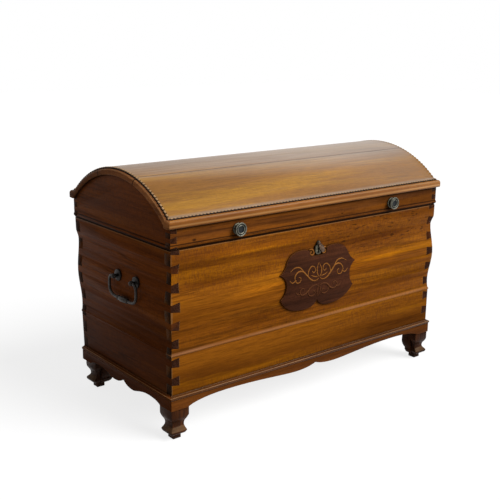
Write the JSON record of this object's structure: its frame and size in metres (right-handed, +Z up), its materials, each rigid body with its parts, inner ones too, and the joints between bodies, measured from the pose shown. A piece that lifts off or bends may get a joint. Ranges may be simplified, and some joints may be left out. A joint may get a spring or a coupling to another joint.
{
  "type": "dome top trunk",
  "caption": "Dome top wooden trunk with dovetailed moulded walls, hinged curved lid, plinth apron on ogee feet, front shield, swing keyhole cover, lid knobs and iron bail handles.",
  "frame": {"origin": "on the floor, below the centre of the carcass", "axes": "+X along the front to the right as seen from the front, +Y from the front to the hinged back, +Z up"},
  "size_m": [1.1876, 0.5831, 0.7775],
  "materials": {
    "front_wood": "polished golden brown",
    "end_wood": "polished dark brown",
    "dome_wood": "polished golden brown with a pale sheen",
    "inner_wood": "unfinished",
    "shield_wood": "polished dark reddish brown",
    "pewter": "aged, dull",
    "iron": "black, worn bright where it is held"
  },
  "bodies": {
    "carcass": {"plinth_front": "front_wood", "base_moulding_front": "front_wood", "front_board": "front_wood", "back_board": "front_wood", "plinth_left": "end_wood", "plinth_right": "end_wood", "plinth_back": "end_wood", "base_moulding_left": "end_wood", "base_moulding_right": "end_wood", "foot_front_left": "end_wood", "foot_front_right": "end_wood", "foot_back_right": "end_wood", "foot_back_left": "end_wood", "left_end_board": "end_wood", "right_end_board": "end_wood", "bottom_board_front": "inner_wood", "bottom_board_middle": "inner_wood", "bottom_board_back": "inner_wood", "shield": "shield_wood", "keyhole_plate": "pewter", "cover_rivet": "pewter", "lock_case": "iron", "hinge_strap_left": "iron", "hinge_strap_right": "iron", "hinge_pin_left": "iron", "hinge_pin_right": "iron", "handle_post_left_front": "iron", "handle_post_left_back": "iron", "handle_post_right_front": "iron", "handle_post_right_back": "iron"},
    "lid": {"lid_front_rail": "front_wood", "lid_back_rail": "front_wood", "lid_gable_left": "end_wood", "lid_gable_right": "end_wood", "dome_board_front": "dome_wood", "dome_board_crown": "dome_wood", "dome_board_back": "dome_wood", "arch_moulding_left": "front_wood", "arch_moulding_right": "front_wood", "dome_bead_left": "end_wood", "dome_bead_right": "end_wood", "dome_bead_front": "end_wood", "dome_bead_back": "end_wood", "toe_nosing_front": "front_wood", "toe_nosing_back": "front_wood", "lock_staple": "iron", "lid_knob_left": "pewter", "lid_knob_right": "pewter", "knob_rosette_left": "pewter", "knob_rosette_right": "pewter", "knob_nut_left": "iron", "knob_nut_right": "iron", "lid_strap_left": "iron", "lid_strap_right": "iron"},
    "bail_left": {"handle_bail_left": "iron"},
    "bail_right": {"handle_bail_right": "iron"},
    "keyhole_cover": {"keyhole_cover": "pewter"},
    "lock_bolt": {"lock_bolt": "iron"}
  },
  "joints": [
    {"name": "lid_hinge", "type": "hinge", "parent": "carcass", "child": "lid", "pos_m": [0, 0.2823, 0.5802], "axis": [-1, 0, 0], "range_deg": [0, 95]},
    {"name": "bail_left_swing", "type": "hinge", "parent": "carcass", "child": "bail_left", "pos_m": [-0.585, -0.0425, 0.446], "axis": [0, 1, 0], "range_deg": [-4, 100]},
    {"name": "bail_right_swing", "type": "hinge", "parent": "carcass", "child": "bail_right", "pos_m": [0.585, -0.0425, 0.446], "axis": [0, -1, 0], "range_deg": [-4, 100]},
    {"name": "keyhole_cover_swing", "type": "hinge", "parent": "carcass", "child": "keyhole_cover", "pos_m": [0, -0.2779, 0.5205], "axis": [0, 1, 0], "range_deg": [-50, 36]},
    {"name": "lock_bolt_slide", "type": "slide", "parent": "carcass", "child": "lock_bolt", "axis": [1, 0, 0], "range_m": [0, 0.022]}
  ]
}
